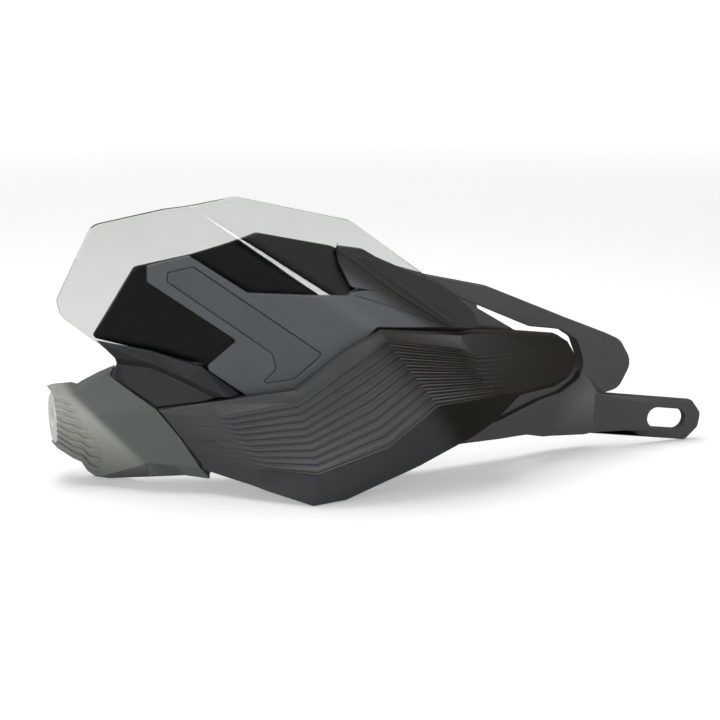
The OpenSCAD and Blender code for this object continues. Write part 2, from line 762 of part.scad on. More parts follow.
module panel_washers() {
    color([0.6, 0.6, 0.6])
        for (p = panel_points)
            tube(p.x, p.y, panel_seat(p) + 0.05, panel_seat(p) + 0.05 + washer_t, head_r(small_screw_r) - 0.2,
                small_screw_r + hole_clear);
}

module panel_inserts() {
    color([0.75, 0.6, 0.3])
        for (p = panel_points)
            tube(p.x, p.y, panel_insert_tip(p), panel_insert_rear(p), insert_r(small_screw_r),
                small_screw_r + hole_clear / 3);
}

module trim_screws() {
    color([0.12, 0.12, 0.12])
        for (p = trim_points)
            screw(p.x, p.y, pad_front(p) - insert_len, pad_rear(p) + 0.05, small_screw_r);
}

module trim_inserts() {
    color([0.75, 0.6, 0.3])
        for (p = trim_points)
            tube(p.x, p.y, pad_front(p) - sheet_gap - insert_len, pad_front(p) - sheet_gap,
                insert_r(small_screw_r), small_screw_r + hole_clear / 3);
}

inner_frame();
front_cover();
end_cover();
spoiler_base();
backing_panel();
screen();
retainer();
retainer_inlay();
screen_grommets();
bar_end_insert();
retaining_ring();
cover_screws();
cover_washers();
cover_inserts();
panel_screws();
panel_washers();
panel_inserts();
trim_screws();
trim_inserts();
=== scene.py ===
from math import pi, radians

import bmesh
import bpy
from bpy.props import FloatProperty, FloatVectorProperty, PointerProperty
from bpy.types import Operator, Panel, PropertyGroup
from mathutils import Matrix, Vector


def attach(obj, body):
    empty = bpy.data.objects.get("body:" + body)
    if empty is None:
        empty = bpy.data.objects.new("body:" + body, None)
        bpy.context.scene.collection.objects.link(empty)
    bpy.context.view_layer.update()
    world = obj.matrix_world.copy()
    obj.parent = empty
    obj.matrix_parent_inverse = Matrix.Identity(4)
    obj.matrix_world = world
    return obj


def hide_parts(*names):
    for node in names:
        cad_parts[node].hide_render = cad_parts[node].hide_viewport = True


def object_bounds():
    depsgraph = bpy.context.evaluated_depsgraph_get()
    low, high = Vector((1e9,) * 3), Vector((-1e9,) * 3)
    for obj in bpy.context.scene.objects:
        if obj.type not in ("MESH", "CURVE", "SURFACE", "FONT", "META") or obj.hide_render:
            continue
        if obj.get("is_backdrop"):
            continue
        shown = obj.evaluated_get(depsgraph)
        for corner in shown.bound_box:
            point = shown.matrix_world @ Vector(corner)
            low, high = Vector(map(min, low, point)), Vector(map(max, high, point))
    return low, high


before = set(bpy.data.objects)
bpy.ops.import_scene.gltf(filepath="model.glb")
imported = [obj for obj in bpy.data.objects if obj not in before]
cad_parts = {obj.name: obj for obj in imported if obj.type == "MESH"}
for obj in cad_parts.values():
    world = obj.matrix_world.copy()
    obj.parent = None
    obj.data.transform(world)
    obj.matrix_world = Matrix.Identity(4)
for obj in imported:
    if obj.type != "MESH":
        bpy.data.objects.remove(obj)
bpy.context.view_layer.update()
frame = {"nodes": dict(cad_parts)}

bl_info = {
    "name": "Motorcycle Hand Guard",
    "version": (1, 0, 0),
    "blender": (4, 2, 0),
    "location": "View3D > Sidebar > Hand Guard",
    "description": "Gives the solids of a motorcycle hand guard their edges, finishes and studio",
    "category": "Object",
}

MM = 0.001
ROOT = "root"

# Faces of a solid that turn by less than this, in degrees, are joined into one flat face
FLAT_TURN = 0.4

# Camera of the photograph: place in metres, fall, heading and width of view in degrees, sensor in millimetres
CAMERA_PLACE = (-0.1169, -0.7798, 0.2210)
CAMERA_FALL = 14
CAMERA_HEADING = -19
CAMERA_VIEW = 23.5
SENSOR_WIDTH = 36

# Plan line of the frame's front face, (x, y) in millimetres
FRAME_PLAN = ((3, -10), (12, -12), (24, -15.5), (44, -21), (62, -27), (110, -43), (165, -52), (206, -47),
              (236, -41), (262, -39.9), (330, -39.9))

# Guides of the end cover's skin, (x, y, z) in millimetres, each from the bar end to the front cover: rim at the
# bar end, four places along the ribs, start of the smooth skin, crease, middle of the facet and outer edge
END_TOP = (
    ((0, 11.8, 12.6), (2.6, 11.8, 13.2), (5.3, 11.8, 13.3), (8.4, 11, 13.5), (11.1, 10, 13.8),
     (13.4, 7, 13.6), (15.4, 3, 16.1), (21.6, -4, 21.2), (27.9, -12, 26)),
    ((0, 2, 12.8), (1.8, -1, 13.6), (3.9, -2, 13.8), (6.1, -3, 13.9), (7.6, -5, 14.2),
     (9.4, -8, 14.8), (11.2, -9, 16.4), (18.6, -15, 21.5), (25.1, -20, 25.8)),
)
END_GUIDES = (
    ((0, -6, 11.6), (1.5, -8, 12.9), (2.6, -9.6, 12.9), (3.3, -11, 12.9), (4.4, -12.6, 12.8),
     (5.3, -14, 13.3), (7.5, -16.5, 15.6), (15.1, -21.3, 20), (22.8, -25.6, 24.3)),
    ((0, -11.6, 5.8), (2.6, -13.6, 5.2), (4.2, -14.4, 4.6), (6.3, -15.4, 3.9), (8.5, -16.6, 3.2),
     (9.6, -17.4, 3.2), (17.3, -24, 6.2), (29.5, -31, 8.1), (41.3, -37.7, 10)),
    ((0, -13.2, -2.7), (5.9, -15.2, -6.8), (10.1, -17, -7.4), (13.3, -18.6, -10.2), (17.3, -20.5, -10),
     (18.5, -21.4, -10.1), (27.3, -30.5, -4.5), (39.1, -36.2, -4), (51.2, -42, -3.5)),
    ((0, -11.5, -10.5), (7.5, -14.5, -16.3), (11, -15.5, -18), (13.3, -15.8, -22.6), (16.9, -17, -25.2),
     (18.3, -18, -25.2), (37.4, -36.6, -15), (48.5, -41, -16), (59.2, -45.3, -17.2)),
)
END_BOTTOM = (
    ((0, -10.5, -11.6), (7.4, -11, -17.4), (11, -10.8, -19.4), (13.6, -10.3, -24), (17.6, -9.4, -27.6),
     (24.2, -7, -29.9), (39.9, -24, -25.7), (53, -40, -21.5), (63.2, -46.6, -22.2)),
    ((0, 6, -13), (7.4, 4, -16.6), (11, 3, -18.4), (13.5, 2, -22.4), (17.4, 1, -25.6),
     (25, 2, -27.6), (40, -16, -24.5), (52.4, -32, -20.8), (62, -39, -21.8)),
)
# Steps from the outer edge to the lip behind the front cover: at the top, along the side and at the foot
END_LIPS = (((0.3, 0.6, -2), (1.5, 1.5, -4)), ((0.3, 2.6, 0), (3.6, 4.6, 0)), ((0.3, 1.2, 1.5), (1.5, 2.4, 3.5)))
END_WALL = 1.0

# Ribs of the end cover: their number, height and columns, and the section of one as shares (down, out)
END_RIBS = 9
END_RIB_HEIGHT = 1.3
END_RIBBED_COLUMNS = 5
RIB_PROFILE = ((0, 0), (0.14, 1), (0.46, 0.8), (0.62, 0))

# Bosses behind the end cover's skin, (x, z), each with the depths where it starts and ends
END_BOSSES = (((27, 5), -27.5, -18.9), ((42, -4.5), -35.5, -23.1))
END_BOSS_RADIUS = 4.2
BOSS_SEGMENTS = 48

# Webs in the frame's loop: name, upper and lower edge, (x, z), distance behind the frame's face and thickness
FRAME_WEBS = (
    ("web_under_tongue",
     (((178, 6), (206, 6.5), (241, 6), (250, 10), (254.5, 13.5)),
      ((178, -3), (204.5, -10.5), (230, -3.4), (242.6, -1.4), (254.5, 8))),
     3.2, 2.2),
    ("loop_fin",
     (((167, 62), (180, 57.5), (192.4, 51.8), (193.2, 48.5), (206, 40.6), (219, 32.6)),
      ((167, 22), (180, 24), (192.4, 26.6), (193.2, 26.8), (206, 29.4), (219, 32.2))),
     0.3, 3.4),
)

# The solid's jogged left edge of the front cover, top and foot (x, z) with the reach round it, and the shift
# that straightens its top
COVER_EDGE_TOP = (47, 9)
COVER_EDGE_FOOT = (59.5, -14.5)
COVER_EDGE_REACH = 0.4
COVER_EDGE_SHIFT = (-3, 2, -1)

# Corners of the retainer's middle window, (x, z), the shift of each in the plane of the sheet, and the reach
# round a corner
WINDOW_CORNERS = (((128, 63), (9.5, -0.72, -0.4)), ((120.8, 72), (0, 2.2, 4.4)))
WINDOW_REACH = 3

# Lines where the second tone of a moulding starts, (x, z) to (x, z), with the width of the change, and the
# heights between which the tip's tone fades in. The tongue's tone is painted shade. The clip's tone is its own
# black plus painted shade over the retainer's right side. The tip's tone is painted light that grows with height
TONGUE_SHADE_LINE = ((122, 56), (176, -12), 14)
CLIP_SHADE_LINE = ((116.5, 76.5), (169.5, 39.5), 7)
TIP_LIGHT_LINE = ((36, -16), (6.5, 15), 5)
TIP_LIGHT_FADE = (-34, 12)

# Lamps: name, its power among the settings, place, width and height in metres, and the point that they face
LAMPS = (
    ("key_lamp", "key", (-1.25, -0.55, 0.16), 0.8, 0.7),
    ("top_softbox", "top", (0.0, 0.12, 1.1), 1.1, 0.7),
    ("front_lamp", "front", (-0.06, -1.12, 0.24), 0.28, 0.34),
    ("right_lamp", "right", (0.95, -1.0, 0.05), 0.5, 0.3),
)
GUARD_MIDDLE = (0.15, -0.03, 0.03)

# Half width of the floor in metres, and the grey that it has in a mirror
FLOOR_HALF = 12
MIRRORED_PAPER = (0.12, 0.12, 0.12, 1)


# Shader arithmetic

class Term:
    """A shader value that takes part in Python arithmetic."""

    def __init__(self, graph, socket):
        self.graph = graph
        self.socket = socket

    def math(self, operation, *values):
        return self.graph.value("ShaderNodeMath", {"operation": operation}, dict(enumerate(values)))

    def __add__(self, other):
        return self.math("ADD", self, other)

    def __radd__(self, other):
        return self.math("ADD", other, self)

    def __sub__(self, other):
        return self.math("SUBTRACT", self, other)

    def __rsub__(self, other):
        return self.math("SUBTRACT", other, self)

    def __mul__(self, other):
        return self.math("MULTIPLY", self, other)

    def __rmul__(self, other):
        return self.math("MULTIPLY", other, self)

    def __pow__(self, other):
        return self.math("POWER", self, other)

    def sine(self):
        return self.math("SINE", self)

    def highest(self, other):
        return self.math("MAXIMUM", self, other)

    def lowest(self, other):
        return self.math("MINIMUM", self, other)

    def ramp(self, low, high):
        """0 below low, 1 above high, and a smooth rise between them."""
        return self.graph.value(
            "ShaderNodeMapRange",
            {"interpolation_type": "SMOOTHSTEP"},
            {"Value": self, "From Min": low, "From Max": high, "To Min": 0.0, "To Max": 1.0},
        )


class Graph:
    """The nodes of one material or world."""

    def __init__(self, tree):
        self.tree = tree
        tree.nodes.clear()

    def node(self, kind, settings=None, inputs=None):
        """Adds a node, sets it, and then gives its sockets their values or links."""
        made = self.tree.nodes.new(kind)
        for name, setting in (settings or {}).items():
            setattr(made, name, setting)
        for name, given in (inputs or {}).items():
            if isinstance(given, Term):
                self.tree.links.new(given.socket, made.inputs[name])
            elif isinstance(given, bpy.types.NodeSocket):
                self.tree.links.new(given, made.inputs[name])
            else:
                made.inputs[name].default_value = given
        return made

    def value(self, kind, settings=None, inputs=None, output=0):
        return Term(self, self.node(kind, settings, inputs).outputs[output])

    def place(self):
        """Object coordinates, in metres."""
        return self.node("ShaderNodeTexCoord").outputs["Object"]

    def axes(self):
        """The three object coordinates as terms."""
        split = self.node("ShaderNodeSeparateXYZ", None, {"Vector": self.place()})
        return [Term(self, split.outputs[name]) for name in "XYZ"]

    def stretched(self, scale):
        return self.node("ShaderNodeMapping", None, {"Vector": self.place(), "Scale": scale}).outputs[0]

    def noise(self, size, detail=2.0, roughness=0.5, vector=None):
        """Noise whose lumps are about size metres across."""
        return self.value(
            "ShaderNodeTexNoise",
            None,
            {"Vector": vector or self.place(), "Scale": 1 / size, "Detail": detail, "Roughness": roughness},
        )

    def mix(self, share, first, second):
        """A colour between first and second."""
        made = self.node("ShaderNodeMix", {"data_type": "RGBA"}, {0: share, 6: first, 7: second})
        return made.outputs[2]

    def bump(self, height, depth, strength=1.0, under=None):
        inputs = {"Height": height, "Distance": depth, "Strength": strength}
        if under is not None:
            inputs["Normal"] = under
        return self.node("ShaderNodeBump", None, inputs).outputs[0]


def shade(colour, factor):
    """A colour made lighter or darker, as a Mix node takes it."""
    return (*[min(1.0, c * factor) for c in colour[:3]], 1.0)


def new_material(name):
    made = bpy.data.materials.new(name)
    made.use_nodes = True
    return made, Graph(made.node_tree)


def finish_with(graph, settings):
    """Closes a material with its shader, whose own sockets hold what is constant."""
    shader = graph.node("ShaderNodeBsdfPrincipled", None, settings)
    graph.node("ShaderNodeOutputMaterial", None, {"Surface": shader.outputs[0]})


# Materials

def painted_tone_share(graph, line, fade):
    """How much of a second tone shows, a tone of painted light and shade: all of it to the left of a line and above
    the heights of its fade.
    """
    start, end, width = line
    x, _, z = graph.axes()
    side = Vector((start[1] - end[1], end[0] - start[0])).normalized()
    past = (x - start[0] * MM) * side.x + (z - start[1] * MM) * side.y
    share = past.ramp(-width * MM / 2, width * MM / 2)
    return share * z.ramp(fade[0] * MM, fade[1] * MM) if fade else share


def moulded_plastic(name, colour, roughness, grain=0.45, grain_depth=0.02, second=None, line=None, fade=None):
    """Plastic from a spark-eroded mould: fine grain, faint flow shading and a few light scuffs.

    A second colour lies to the left of a line and fades in with height, as painted_tone_share takes them. That
    colour is painted light and shade: it stands for how the lamps fall on one side of a part."""
    flow, scuffs = 0.05, 0.3
    made, graph = new_material(name)
    cloud = graph.noise(38 * MM, 3.0, 0.55)
    fleck = graph.noise(1.1 * MM, 1.0)
    streak = graph.noise(9 * MM, 4.0, 0.6, graph.stretched((0.35, 1.0, 2.2)))
    scuff = streak.ramp(0.6, 0.72) * scuffs
    tone = cloud * 0.7 + fleck * 0.3
    body = graph.mix(tone, shade(colour, 1 - flow * 2.4), shade(colour, 1 + flow * 2.4))
    # The second colour is painted light and shade laid over the moulding's own colour
    if second is not None:
        other = graph.mix(tone, shade(second, 1 - flow), shade(second, 1 + flow))
        body = graph.mix(painted_tone_share(graph, line, fade), body, other)
    worn = graph.mix(scuff * 0.22, body, shade(colour, 1.7))
    fine = graph.noise(grain * MM, 2.0, 0.6)
    coarse = graph.noise(grain * 3.2 * MM, 1.0)
    finish_with(graph, {
        "Base Color": worn,
        "Roughness": roughness + (fine - 0.5) * 0.12 + (cloud - 0.5) * 0.1 - scuff * 0.08,
        "Normal": graph.bump(fine * 0.75 + coarse * 0.25, grain_depth * MM, 0.85),
        "IOR": 1.48,
        "Specular IOR Level": 0.5,
    })
    return made


def gloss_plastic(name, colour, roughness=0.045):
    """Polished sheet: a deep colour under a clear surface with faint waves and a little dust."""
    made, graph = new_material(name)
    wave = graph.noise(26 * MM, 2.0, 0.4)
    haze = graph.noise(12 * MM, 4.0, 0.6)
    dust = graph.noise(0.55 * MM, 1.0).ramp(0.72, 0.8)
    body = graph.mix(dust * 0.12 + haze * 0.2, shade(colour, 0.9), shade(colour, 2.2))
    finish_with(graph, {
        "Base Color": body,
        "Roughness": roughness + haze.ramp(0.5, 0.8) * 0.03 + dust * 0.15,
        "Normal": graph.bump(wave, 0.05 * MM, 0.5),
        "IOR": 1.49,
        "Coat Weight": 0.25,
        "Coat Roughness": 0.03,
    })
    return made


def clear_sheet(name, tint, roughness):
    """Clear moulded sheet with a faint tint, a slight wave and fine haze from handling."""
    made, graph = new_material(name)
    wave = graph.noise(45 * MM, 2.0, 0.4)
    smear = graph.noise(20 * MM, 4.0, 0.6, graph.stretched((0.5, 1.0, 1.6)))
    finish_with(graph, {
        "Base Color": graph.mix(smear.ramp(0.35, 0.75), shade(tint, 1.0), shade(tint, 0.965)),
        "Roughness": roughness + smear.ramp(0.5, 0.8) * 0.035,
        "Normal": graph.bump(wave, 0.04 * MM, 0.35),
        "IOR": 1.5,
        "Transmission Weight": 1.0,
    })
    return made


def turned_metal(name, colour, roughness, pitch=0.28):
    """Anodised metal turned on a lathe about the grip axis: fine rings and soft clouds. It is metallic only in
    part, because the photograph shows it pale and even."""
    made, graph = new_material(name)
    along, y, z = graph.axes()
    radius = (y * y + z * z) ** 0.5
    rings = ((radius + along) * (2 * pi / (pitch * MM)) + graph.noise(3 * MM) * 2.0).sine() * 0.5 + 0.5
    cloud = graph.noise(4 * MM, 3.0)
    body = graph.mix(cloud * 0.6 + rings * 0.4, shade(colour, 0.93), shade(colour, 1.05))
    finish_with(graph, {
        "Base Color": body,
        "Metallic": 0.35,
        "Roughness": roughness + rings * 0.06 + cloud * 0.05,
        "Normal": graph.bump(rings, 0.006 * MM, 0.6),
    })
    return made


def plated_metal(name, colour, roughness, metallic=1.0, speckle=0.15):
    """Plated or oxidised steel: a fine tumbled surface with clouds of tone."""
    made, graph = new_material(name)
    cloud = graph.noise(2.6 * MM, 3.0, 0.6)
    grit = graph.noise(0.16 * MM, 2.0)
    body = graph.mix(cloud, shade(colour, 1 - speckle), shade(colour, 1 + speckle))
    finish_with(graph, {
        "Base Color": body,
        "Metallic": metallic,
        "Roughness": roughness + (grit - 0.5) * 0.12 + (cloud - 0.5) * 0.14,
        "Normal": graph.bump(grit, 0.006 * MM, 0.7),
    })
    return made


def soft_rubber(name, colour):
    """Matt rubber with a pale bloom."""
    made, graph = new_material(name)
    bloom = graph.noise(3 * MM, 3.0, 0.6)
    grit = graph.noise(0.25 * MM, 2.0)
    finish_with(graph, {
        "Base Color": graph.mix(bloom.ramp(0.45, 0.8), shade(colour, 0.9), shade(colour, 2.0)),
        "Roughness": 0.75 + (grit - 0.5) * 0.2,
        "Normal": graph.bump(grit, 0.015 * MM, 0.8),
        "IOR": 1.5,
    })
    return made


# Pieces

def merged_mesh(node, name, weld, moves=None):
    """A copy of a node's mesh whose loose triangles are joined into whole flat faces.

    Moves maps a point in millimetres to its shift, for a shape that the photograph shows a little differently."""
    mesh = bpy.data.meshes.new(name)
    shape = bmesh.new()
    shape.from_mesh(frame["nodes"][node].data)
    for vert in shape.verts if moves else ():
        vert.co += Vector(moves(*(vert.co / MM))) * MM
    bmesh.ops.remove_doubles(shape, verts=shape.verts, dist=weld)
    bmesh.ops.dissolve_degenerate(shape, edges=shape.edges, dist=weld)
    bmesh.ops.dissolve_limit(
        shape, angle_limit=radians(FLAT_TURN), use_dissolve_boundaries=False,
        verts=shape.verts, edges=shape.edges, delimit=set())
    for face in shape.faces:
        face.smooth = True
    shape.to_mesh(mesh)
    shape.free()
    return mesh


def round_edges(piece, width, crease, bevel_from, segments=2, clamp=True):
    """Marks a piece's creases and rounds its sharp edges by a width in metres. Angles are in degrees."""
    piece.data.set_sharp_from_angle(angle=radians(crease))
    rounding = piece.modifiers.new("edges", "BEVEL")
    rounding.width = width
    rounding.segments = segments
    rounding.profile = 0.5
    rounding.limit_method = "ANGLE"
    rounding.angle_limit = radians(bevel_from)
    rounding.use_clamp_overlap = clamp
    rounding.harden_normals = True


def new_piece(name, mesh, material):
    """Puts a mesh of the builder's own in the scene, on the only body."""
    mesh.materials.append(material)
    piece = bpy.data.objects.new(name, mesh)
    bpy.context.scene.collection.objects.link(piece)
    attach(piece, ROOT)
    return piece


def edged_piece(node, name, material, edge, crease, bevel_from=30, segments=2, weld=0.02 * MM, moves=None):
    """Stands for a CAD node: its own solid with its sharp edges rounded. Edge and weld are in metres."""
    piece = new_piece(name, merged_mesh(node, name, weld, moves), material)
    round_edges(piece, edge, crease, bevel_from, segments, clamp=False)
    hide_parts(node)
    return piece


def on_line(line, x):
    """The value at x of a line given by its points (x, value)."""
    for (x0, v0), (x1, v1) in zip(line, line[1:]):
        if x <= x1:
            return v0 + (v1 - v0) * (x - x0) / (x1 - x0)
    return line[-1][1]


def skin(name, rows, wall, bosses=(), boss_radius=0.0):
    """A wall of the given thickness behind rows of points in millimetres, each row from left to right and the
    rows from the top down, with bosses behind it."""
    shape = bmesh.new()
    bmesh.ops.create_grid(shape, x_segments=len(rows[0]) - 1, y_segments=len(rows) - 1, size=1)
    shape.verts.ensure_lookup_table()
    across = len(rows[0])
    for i, vert in enumerate(shape.verts):
        vert.co = Vector(rows[i // across][i % across]) * MM
    bmesh.ops.recalc_face_normals(shape, faces=shape.faces)
    if sum(face.normal.y * face.calc_area() for face in shape.faces) > 0:
        bmesh.ops.reverse_faces(shape, faces=shape.faces)
    bmesh.ops.solidify(shape, geom=shape.faces[:], thickness=wall * MM)
    bmesh.ops.recalc_face_normals(shape, faces=shape.faces)
    for (x, z), front, rear in bosses:
        middle = Matrix.Translation(Vector((x, (front + rear) / 2, z)) * MM)
        bmesh.ops.create_cone(
            shape, cap_ends=True, segments=BOSS_SEGMENTS, radius1=boss_radius * MM, radius2=boss_radius * MM,
            depth=(rear - front) * MM, matrix=middle @ Matrix.Rotation(pi / 2, 4, "X"))
    for face in shape.faces:
        face.smooth = True
    mesh = bpy.data.meshes.new(name)
    shape.to_mesh(mesh)
    shape.free()
    return mesh


def end_point(column, share):
    """Point of a column of the end cover at a share of the way down its guides."""
    place = share * (len(END_GUIDES) - 1)
    upper = min(int(place), len(END_GUIDES) - 2)
    return Vector(END_GUIDES[upper][column]).lerp(Vector(END_GUIDES[upper + 1][column]), place - upper)


def end_rows():
    """Rows of the end cover's skin: its top, the ribbed side and its foot, each with a lip under the cover."""
    rows = [[Vector(point) for point in row] for row in END_TOP]
    for rib in range(END_RIBS):
        for share, height in RIB_PROFILE:
            row = [end_point(column, (rib + share) / END_RIBS) for column in range(len(END_GUIDES[0]))]
            for point in row[:END_RIBBED_COLUMNS]:
                point.y -= height * END_RIB_HEIGHT
            rows.append(row)
    rows.append([Vector(point) for point in END_GUIDES[-1]])
    rows += [[Vector(point) for point in row] for row in END_BOTTOM]
    lips = [END_LIPS[0]] * len(END_TOP) + [END_LIPS[1]] * (len(rows) - len(END_TOP) - len(END_BOTTOM))
    lips += [END_LIPS[2]] * len(END_BOTTOM)
    return [[*row, *[row[-1] + Vector(step) for step in lip]] for row, lip in zip(rows, lips)]


def web_rows(edges, behind):
    """Two rows of a web that follows the frame's plan line at a distance behind its face."""
    stations = sorted({x for edge in edges for x, _ in edge} | {
        x for x, _ in FRAME_PLAN if edges[0][0][0] < x < edges[0][-1][0]})
    return [[(x, on_line(FRAME_PLAN, x) + behind, on_line(edge, x)) for x in stations] for edge in edges]


def kept_piece(node, material):
    """Keeps a CAD node as it is and gives it its material."""
    solid = frame["nodes"][node]
    solid.data.materials.clear()
    solid.data.materials.append(material)


def straight_left_edge(x, _, z):
    """Shift of a point (x, y, z) of the front cover, whose left edge runs straight down from its upper corner."""
    (top_x, top_z), (foot_x, foot_z) = COVER_EDGE_TOP, COVER_EDGE_FOOT
    share = (top_z - z) / (top_z - foot_z)
    if not -0.05 < share < 1 or abs(x - (top_x + (foot_x - top_x) * share)) > COVER_EDGE_REACH:
        return 0, 0, 0
    return [step * (1 - share) for step in COVER_EDGE_SHIFT]


def wider_window(x, _, z):
    """Shift of a point (x, y, z) of the retainer, at the lower right corner of its middle window."""
    for corner, shift in WINDOW_CORNERS:
        if abs(x - corner[0]) < WINDOW_REACH and abs(z - corner[1]) < WINDOW_REACH:
            return shift
    return 0, 0, 0


# Sizes and colours that a user would change

def share_setting(name, description, default, high=1.0):
    return FloatProperty(
        name=name, description=description, default=default, min=0.0, max=high, subtype="FACTOR")


def width_setting(name, description, default, low, high):
    """A distance given in millimetres and kept in metres."""
    return FloatProperty(
        name=name, description=description, default=default * MM, min=low * MM, max=high * MM,
        precision=5, subtype="DISTANCE", unit="LENGTH")


def power_setting(name, description, default):
    return FloatProperty(
        name=name, description=description, default=default, min=0.0, max=100.0, subtype="POWER", unit="POWER")


def colour_setting(name, description, default):
    return FloatVectorProperty(
        name=name, description=description, default=default, size=3, min=0.0, max=1.0, subtype="COLOR")


class GuardColours(PropertyGroup):
    """Colours of the mouldings and sheets."""

    frame: colour_setting("Frame", "Colour of the frame and its arm", (0.036, 0.0335, 0.0335))
    cover: colour_setting("Front Cover", "Colour of the ribbed front cover", (0.043, 0.047, 0.048))
    # Painted shade: the tongue's darker brown tone stands for its faces turned away from the lamps
    tongue: colour_setting("Tongue", "Colour of the front cover's tongue", (0.016, 0.013, 0.009))
    end: colour_setting("End Cover", "Colour of the cover at the bar end", (0.088, 0.100, 0.090))
    # Painted light: the pale tone stands for the lit facet of the end cover's tip and grows paler higher up
    tip: colour_setting("Pale Tip", "Colour of the ribbed tip of the end cover", (0.34, 0.352, 0.315))
    base: colour_setting("Spoiler Base", "Colour of the strip under the screen", (0.015, 0.018, 0.020))
    backing: colour_setting("Backing Panel", "Colour of the gloss panel behind the screen", (0.003, 0.0033, 0.0033))
    screen: colour_setting("Screen", "Tint of the clear screen", (0.715, 0.733, 0.705))
    retainer: colour_setting("Retainer", "Colour of the matt clamp round the screen", (0.078, 0.086, 0.092))
    # Partly the clip's own black, partly painted shade that darkens the retainer's right side where it turns from
    # the light
    clip: colour_setting("Clip", "Colour of the clip at the retainer's inner end", (0.020, 0.020, 0.018))
    inlay: colour_setting("Inlay", "Colour of the plate in the retainer's pocket", (0.072, 0.080, 0.086))
    disc: colour_setting("Bar End", "Colour of the turned bar end insert", (0.90, 0.92, 0.90))


class GuardSurfaces(PropertyGroup):
    """Roughness of the surfaces and rounding of the edges."""

    satin: share_setting("Satin", "Roughness of the satin mouldings", 0.42)
    matt: share_setting("Matt", "Roughness of the matt mouldings", 0.5)
    clear: share_setting("Clear", "Roughness of the clear screen", 0.015)
    metal: share_setting("Metal", "Roughness of the turned metal", 0.42)
    edge: width_setting("Edge", "Rounding of the frame's edges", 0.5, 0.1, 0.8)
    rib_edge: width_setting("Rib Edge", "Rounding of the ribs", 0.16, 0.05, 0.3)
    sheet_edge: width_setting("Sheet Edge", "Rounding of the sheets' edges", 0.35, 0.1, 0.6)


class GuardStudio(PropertyGroup):
    """Light of the studio."""

    key: power_setting("Key", "Power of the low lamp at the left", 9.0)
    top: power_setting("Top", "Power of the softbox overhead", 9.0)
    front: power_setting("Front", "Power of the small softbox behind the camera", 2.2)
    right: power_setting("Right", "Power of the low lamp at the right", 6.5)
    sky: share_setting("Sky", "Strength of the light from all round", 0.25, 2.0)
    floor_glow: share_setting("Floor Glow", "White that the floor adds for the camera", 0.30)


class GuardSettings(PropertyGroup):
    """All settings of the hand guard."""

    colours: PointerProperty(type=GuardColours, name="Colours", description="Colours of the parts")
    surfaces: PointerProperty(type=GuardSurfaces, name="Surfaces", description="Finish of the parts")
    studio: PointerProperty(type=GuardStudio, name="Studio", description="Light of the studio")


# Studio

def add_camera():
    """Adds the camera at the place from which the photograph was taken."""
    lens = bpy.data.cameras.new("photo_camera")
    lens.sensor_width = SENSOR_WIDTH
    lens.sensor_fit = "HORIZONTAL"
    lens.angle = radians(CAMERA_VIEW)
    lens.clip_start = 0.01
    lens.clip_end = 60
    camera = bpy.data.objects.new("photo_camera", lens)
    camera.location = CAMERA_PLACE
    camera.rotation_euler = (radians(90 - CAMERA_FALL), 0, radians(CAMERA_HEADING))
    bpy.context.scene.collection.objects.link(camera)
    bpy.context.scene.camera = camera


def add_lamp(name, place, width, height, power):
    """Adds a soft lamp that faces the guard."""
    light = bpy.data.lights.new(name, "AREA")
    light.shape = "RECTANGLE"
    light.size = width
    light.size_y = height
    light.energy = power
    lamp = bpy.data.objects.new(name, light)
    lamp.location = place
    lamp.rotation_euler = (Vector(GUARD_MIDDLE) - Vector(place)).to_track_quat("-Z", "Y").to_euler()
    lamp.visible_camera = False
    bpy.context.scene.collection.objects.link(lamp)


def seen_white(graph, through, glossy_share):
    """How white the backdrop is for each kind of ray: 1 for the camera, the value of through for a ray that has
    only passed the clear screen, and glossy_share for one that has been reflected."""
    path = graph.node("ShaderNodeLightPath")
    reflected = Term(graph, path.outputs["Glossy Depth"]).lowest(1)
    passed = Term(graph, path.outputs["Is Transmission Ray"]) * (1 - reflected)
    straight = Term(graph, path.outputs["Is Camera Ray"]).highest(passed * through)
    mirrored = Term(graph, path.outputs["Is Glossy Ray"]) * reflected
    return straight.highest(mirrored * glossy_share), mirrored


def floor_material(glow):
    """White paper that shows the object's shadow. Gloss surfaces mirror it as grey paper."""
    made, graph = new_material("studio_floor")
    x, y, _ = graph.axes()
    from_x, from_y = x - GUARD_MIDDLE[0], y - GUARD_MIDDLE[1]
    far = (from_x * from_x + from_y * from_y) ** 0.5
    seen, mirrored = seen_white(graph, 1.0, 0.0)
    paper = graph.noise(0.6 * MM, 2.0)
    distance = far.ramp(0.5, 2.2)
    body = graph.node("ShaderNodeBsdfPrincipled", None, {
        "Base Color": graph.mix(
            mirrored, graph.mix(paper, (0.90, 0.90, 0.90, 1), (0.93, 0.93, 0.93, 1)), MIRRORED_PAPER),
        "Roughness": 0.9,
        "Specular IOR Level": 0.1,
        "Emission Color": (1, 1, 1, 1),
        "Emission Strength": 0.0,
        "Normal": graph.bump(paper, 0.02 * MM, 0.3),
    })
    light = graph.node("ShaderNodeEmission", None, {
        "Color": (1, 1, 1, 1), "Strength": seen * (glow + distance * (1.0 - glow))})
    both = graph.node("ShaderNodeAddShader", None, {0: body.outputs[0], 1: light.outputs[0]})
    graph.node("ShaderNodeOutputMaterial", None, {"Surface": both.outputs[0]})
    return made


